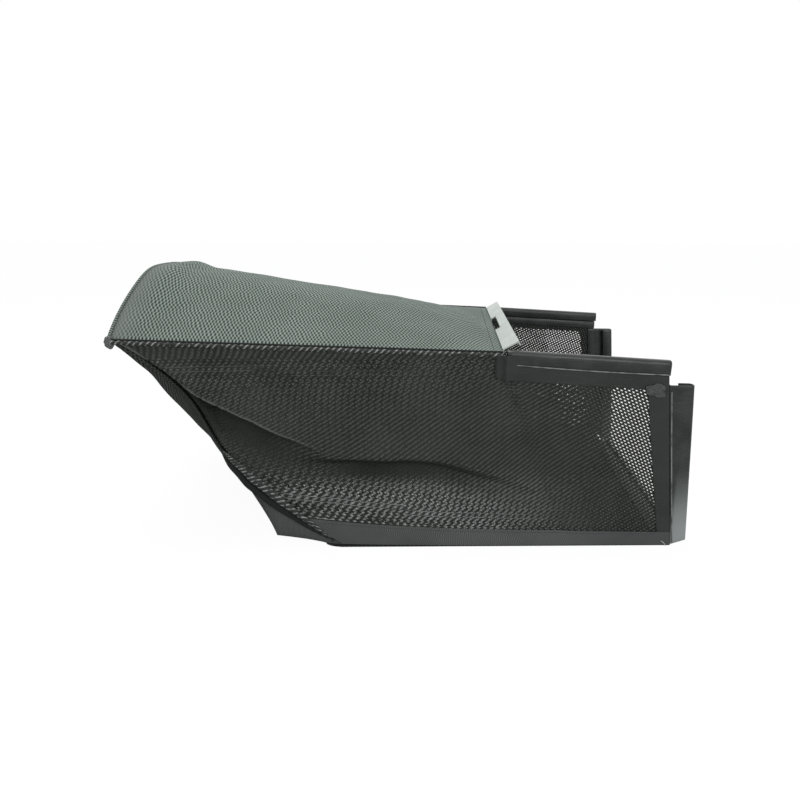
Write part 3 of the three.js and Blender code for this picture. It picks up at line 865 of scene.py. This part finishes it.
def stitches(line, length):
    """Short straight lengths of thread, one after another along a line."""
    row = bmesh.new()
    count = round(length / stitch_pitch)
    for i in range(count):
        start, end = line((i + 0.15) / count), line((i + 0.85) / count)
        made = bmesh.ops.create_cone(
            row,
            cap_ends=True,
            segments=6,
            radius1=thread_radius,
            radius2=thread_radius,
            depth=(end - start).length,
        )["verts"]
        turn = (end - start).to_track_quat("Z", "Y").to_matrix().to_4x4()
        bmesh.ops.transform(row, matrix=Matrix.Translation((start + end) / 2) @ turn, verts=made)
    return row


def row_beside(u_range, v_range):
    """A straight row on the tapes' outer face, from the first shares to the last."""
    place = beside_side(middle + 0.0006, u_range, v_range)
    return lambda t: place(t, t)


inset = 0.0025 / side_height
seam_rows = {
    "rail_tape_foot": (row_beside((0.03, rail_share), (rail_tape_foot + inset,) * 2), 0.18),
    "rail_tape_head": (row_beside((0.03, rail_share), (0.97, 0.97)), 0.18),
    "upright_tape": (row_beside((tape_share * 0.85,) * 2, (band_top + inset, rail_tape_foot - inset)), 0.17),
    "band_head": (row_beside((0.04, 0.97), (band_top - inset,) * 2), 0.41),
}
for kind, (line, length) in seam_rows.items():
    on_both_sides(f"{kind}_stitches", lambda: stitches(line, length), thread, "binding")


def strip_row(t):
    point = top(0.022, 0.08 + 0.84 * t)
    return point + Vector((0, 0, 0.0008))


finished("top_stitches", stitches(strip_row, 0.34), thread, "binding", [])

# Thread ends
# At the front end of each band the cut end of a paler thread sticks out and bends down to the
# ground.
pale_thread = spun("Pale thread", 0.3, (0.42, 0.43, 0.41), (0.72, 0.73, 0.70))
thread_marks = (
    Vector((-0.0150, 0.2076, 0.0062)),
    Vector((-0.0120, 0.2092, 0.0066)),
    Vector((-0.0100, 0.2096, 0.0030)),
    Vector((-0.0078, 0.2094, 0.0006)),
)


def thread_line(t):
    return bezier(t, *thread_marks)


def thread_end():
    return roll(thread_line, 0.010, radius=0.00045, facets=8, step=0.0006, ribs=0.05, pitch=0.001)


on_both_sides("thread_end", thread_end, pale_thread, "binding")

# Beads
# A thin welt runs under each rail and down the step of each upright, where the tape is turned in. Its pale
# colour is a painted highlight along the clips' edges.
# Painted highlight: the welt's pale colour stands for light caught on the clips' edges.
highlight_welt, tree, shader = started("Welt", 0.45, Specular_IOR_Level=0.4)
welt_grain = grain(tree, object_place(tree), 90.0, 3.0)
colour = mixed(tree, ramp(tree, welt_grain, 0.3, 0.65), (0.10, 0.105, 0.10), (0.27, 0.28, 0.27))
surfaced(tree, shader, colour, welt_grain, 0.0002)
rail_front, rail_length = -0.026, 0.191
rail_top, rail_rise = 0.237, 0.009


def rail_bead(t):
    x = -0.0275 - 0.184 * t
    height = rail_top + rail_rise * (rail_front - x) / rail_length
    return Vector((x, mouth_half_width + middle + 0.0010, height - 0.0165 - 0.0012 * math.sin(math.pi * t)))


def upright_bead(t):
    z = 0.004 + 0.196 * t
    base = side(0, (z - side_sole) / side_height, False)
    return Vector((mouth_front(z) + 0.0006, base.y + middle + 0.0004, z))


bead = {"radius": 0.0007, "facets": 8, "step": 0.003, "ribs": 0.03}
for kind, line, length in (("rail_bead", rail_bead, 0.182), ("upright_bead", upright_bead, 0.196)):
    on_both_sides(kind, lambda: roll(line, length, **bead), highlight_welt, "binding")

# Rails, uprights and foot clip
# Extruded black plastic. A flange is sewn behind the cloth, and a springy hook snaps over the bag's wire
# frame. The uprights twist inwards at the foot, which is painted pale as a painted reflection of the white
# floor and backdrop.
clip_wall = 0.0018
hook_round = 0.004
hook_depth = 0.013
upright_hook = 0.028
upright_foot = 0.0018
foot_twist = math.radians(32)

black_plastic, tree, shader = started("Black plastic", 0.4, Specular_IOR_Level=0.32)
place = object_place(tree)
streaks = node(tree, "ShaderNodeMapping", {"Vector": place, "Scale": (40.0, 900.0, 900.0)})
streak = grain(tree, streaks.outputs[0], 1.0, 3.0)
spot = node(tree, "ShaderNodeSeparateXYZ", {0: place}).outputs
# Painted reflection: the foot of each upright is paled where it would reflect the white floor.
low = sums(tree, "SUBTRACT", 1.0, ramp(tree, spot["Z"], 0.0, 0.11))
foot_reflection = sums(tree, "MULTIPLY", low, ramp(tree, spot["X"], 0.345, 0.352))
faded = sums(tree, "MULTIPLY", patches(tree, 0.03), streak)
tone = mixed(tree, faded, (0.022, 0.025, 0.023), (0.060, 0.064, 0.062))
roughness = ramp(tree, sums(tree, "MULTIPLY_ADD", streak, 0.25, 0.25), 0.0, 1.0)
tree.links.new(roughness, shader.inputs["Roughness"])
colour = mixed(tree, sums(tree, "MULTIPLY", foot_reflection, 0.9), tone, (0.34, 0.37, 0.36))
surfaced(tree, shader, colour, streak, 0.00015)


def arc(centre, start, end):
    steps = 6
    for i in range(steps + 1):
        angle = start + (end - start) * i / steps
        yield Vector((centre[0] + hook_round * math.cos(angle), centre[1] + hook_round * math.sin(angle)))


def clip_line(flange_depth, face, flange, hook, depth, returned):
    """The middle line of a clip's section: x is the depth into the bag, y the way to the hook."""
    far, end = face + depth - clip_wall, hook - clip_wall / 2
    line = [Vector((flange_depth, -clip_wall - flange)), Vector((flange_depth, -clip_wall / 2))]
    line += [Vector((face, -clip_wall / 2))]
    line += arc((face + hook_round, end - hook_round), math.pi, math.pi / 2)
    line += arc((far - hook_round, end - hook_round), math.pi / 2, 0)
    return line + [Vector((far, hook - returned))]


def clip(line, steps, place, length):
    last = len(line) - 1
    return laid(last, steps, lambda u, v: place(line[round(u * last)], v), 0.05, length)


inside = cloth_thickness / 2 + 0.0003
flange_depth = inside + clip_wall / 2
flush_depth = clip_wall / 2 - outside - 0.001


def rail(point, share):
    x = rail_front - rail_length * share
    height = rail_top + rail_rise * share
    return Vector((x, mouth_half_width - point.x, height - 0.016 + point.y))


def upright(point, share):
    z = upright_foot + (upright_top - upright_foot) * share
    base = side(0, (z - side_sole) / side_height, False)
    reach = Vector((point.y, point.x - flush_depth))
    if point.y > 0:
        angle = foot_twist * (1 - share)
        cosine, sine = math.cos(angle), math.sin(angle)
        reach = Vector((reach.x * cosine - reach.y * sine, reach.x * sine + reach.y * cosine))
    return Vector((mouth_front(z) + reach.x, base.y - flush_depth - reach.y, z))


corner_room = upright_hook * math.sin(foot_twist) + hook_depth * math.cos(foot_twist) + 2 * clip_wall
foot_length = 2 * foot_half_width - 2 * corner_room


def foot(point, share):
    return Vector((point.y, (share - 0.5) * foot_length, floor_thickness / 2 + point.x))


foot_flange = floor_thickness / 2 + 0.0003 + clip_wall / 2
rail_line = clip_line(flange_depth, flush_depth, flange=0.0105, hook=0.016, depth=hook_depth, returned=0.014)
upright_line = clip_line(
    flange_depth, flush_depth, flange=0.012, hook=upright_hook, depth=hook_depth, returned=0.016
)
foot_face = (clip_wall - floor_thickness) / 2
foot_line = clip_line(foot_flange, foot_face, flange=0.014, hook=0.014, depth=0.011, returned=0.009)
extruded = {"thickness": clip_wall, "rounding": 0.0005}
clips = {"rail_clip": (rail_line, 24, rail, rail_length), "upright_clip": (upright_line, 40, upright, 0.206)}
for kind, section in clips.items():
    on_both_sides(f"{kind}_plastic", lambda: clip(*section), black_plastic, "black_clip", kind, **extruded)
foot_shape = clip(foot_line, 40, foot, foot_length)
finished("foot_clip_plastic", foot_shape, black_plastic, "black_clip", ["foot_clip"], **extruded)

# Strip
# Pale satin plastic, clipped across the front edge of the top and tilted up, with a notch.
pale_plastic, tree, shader = started("Pale plastic", 0.42, Specular_IOR_Level=0.45)
brushed = node(tree, "ShaderNodeMapping", {"Vector": object_place(tree), "Scale": (900.0, 25.0, 900.0)})
brush = grain(tree, brushed.outputs[0], 1.0)
tone = mixed(tree, patches(tree, 0.05), (0.42, 0.46, 0.43), (0.51, 0.55, 0.52))
surfaced(tree, shader, mixed(tree, ramp(tree, brush, 0.55, 0.8), tone, (0.63, 0.66, 0.63)), brush, 0.0001)
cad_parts["top_strip"].data.materials.clear()
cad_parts["top_strip"].data.materials.append(pale_plastic)

# Floor, light and camera
# A white floor under a sky that is white to the camera and in reflections, and lights the bag more
# softly. Two soft lamps, and the camera where the photograph was taken.
floor_shape = bmesh.new()
bmesh.ops.create_grid(floor_shape, x_segments=1, y_segments=1, size=12)
floor_mesh = bpy.data.meshes.new("floor")
floor_shape.to_mesh(floor_mesh)
floor_shape.free()
ground = bpy.data.objects.new("floor", floor_mesh)
bpy.context.scene.collection.objects.link(ground)
white_floor, tree, shader = started("White floor", 0.9)
shader.inputs["Base Color"].default_value = (0.6, 0.6, 0.6, 1)
shine = node(tree, "ShaderNodeEmission", {"Color": (1, 1, 1, 1), "Strength": 1.10})
path = node(tree, "ShaderNodeLightPath").outputs
seen = sums(tree, "MULTIPLY", path["Is Camera Ray"], 0.86)
blend = node(tree, "ShaderNodeMixShader", {0: seen, 1: shader.outputs[0], 2: shine.outputs[0]})
tree.links.new(blend.outputs[0], tree.nodes["Material Output"].inputs["Surface"])
floor_mesh.materials.append(white_floor)

world = bpy.data.worlds.new("Studio")
bpy.context.scene.world = world
world.use_nodes = True
tree = world.node_tree
path = node(tree, "ShaderNodeLightPath").outputs
seen = sums(tree, "MAXIMUM", path["Is Camera Ray"], path["Is Glossy Ray"])
seen = sums(tree, "MAXIMUM", seen, path["Is Transmission Ray"])
soft = node(tree, "ShaderNodeBackground", {"Color": (0.95, 0.98, 1, 1), "Strength": 0.45})
white = node(tree, "ShaderNodeBackground", {"Color": (1, 1, 1, 1), "Strength": 1.0})
blend = node(tree, "ShaderNodeMixShader", {0: seen, 1: soft.outputs[0], 2: white.outputs[0]})
tree.links.new(blend.outputs[0], tree.nodes["World Output"].inputs["Surface"])


def lamp(name, place, aim, power, size):
    light = bpy.data.lights.new(name, "AREA")
    light.energy = power
    light.size = size
    light_object = bpy.data.objects.new(name, light)
    light_object.location = place
    light_object.rotation_euler = (Vector(aim) - Vector(place)).to_track_quat("-Z", "Y").to_euler()
    bpy.context.scene.collection.objects.link(light_object)


lamp("above", (-0.3, 0.35, 2.0), (0, 0, 0.1), 22, 1.1)
lamp("front", (0.9, -2.2, 1.1), (0, 0, 0.1), 20, 1.4)

camera = bpy.data.objects.new("camera", bpy.data.cameras.new("camera"))
camera.data.lens = 27
camera.data.sensor_width = 36
camera.location = (0.0664, -0.912, 0.3917)
camera.rotation_euler = (math.radians(73.6), 0, math.radians(4.9))
bpy.context.scene.collection.objects.link(camera)
bpy.context.scene.camera = camera
bpy.context.scene.view_settings.view_transform = "Standard"
